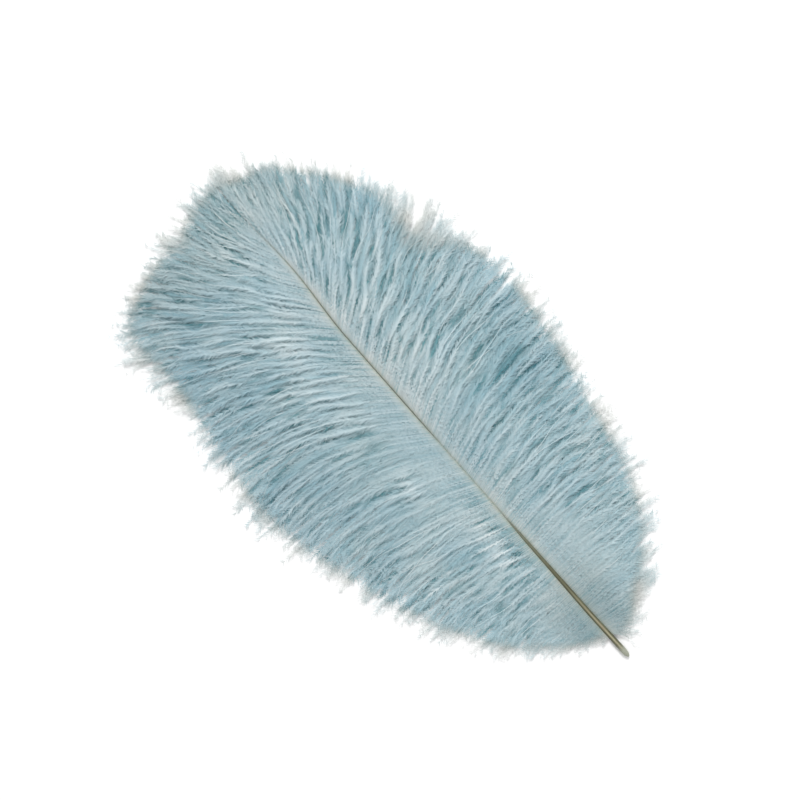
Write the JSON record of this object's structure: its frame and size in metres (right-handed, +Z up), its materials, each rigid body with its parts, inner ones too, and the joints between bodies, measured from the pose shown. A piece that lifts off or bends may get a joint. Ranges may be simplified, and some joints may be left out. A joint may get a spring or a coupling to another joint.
{
  "type": "ostrich feather",
  "caption": "Loose ostrich plume lying flat: a tapered horn shaft with two wide, soft, pale blue vanes of long drooping barbs.",
  "frame": {"origin": "under the middle of the feather's box, on the surface it lies on", "axes": "+X along the shaft from the quill end to the tip, +Y towards the left vane, +Z up out of the better side"},
  "size_m": [0.294, 0.1614, 0.0038],
  "materials": {
    "quill_horn": "satin horn, olive tan with darker edges",
    "dyed_barbs": "soft matt powder blue down, paler beside the shaft and grey tan at the tips"
  },
  "bodies": {
    "root": {"shaft": "quill_horn", "vane_left": "dyed_barbs", "vane_right": "dyed_barbs"}
  },
  "joints": []
}
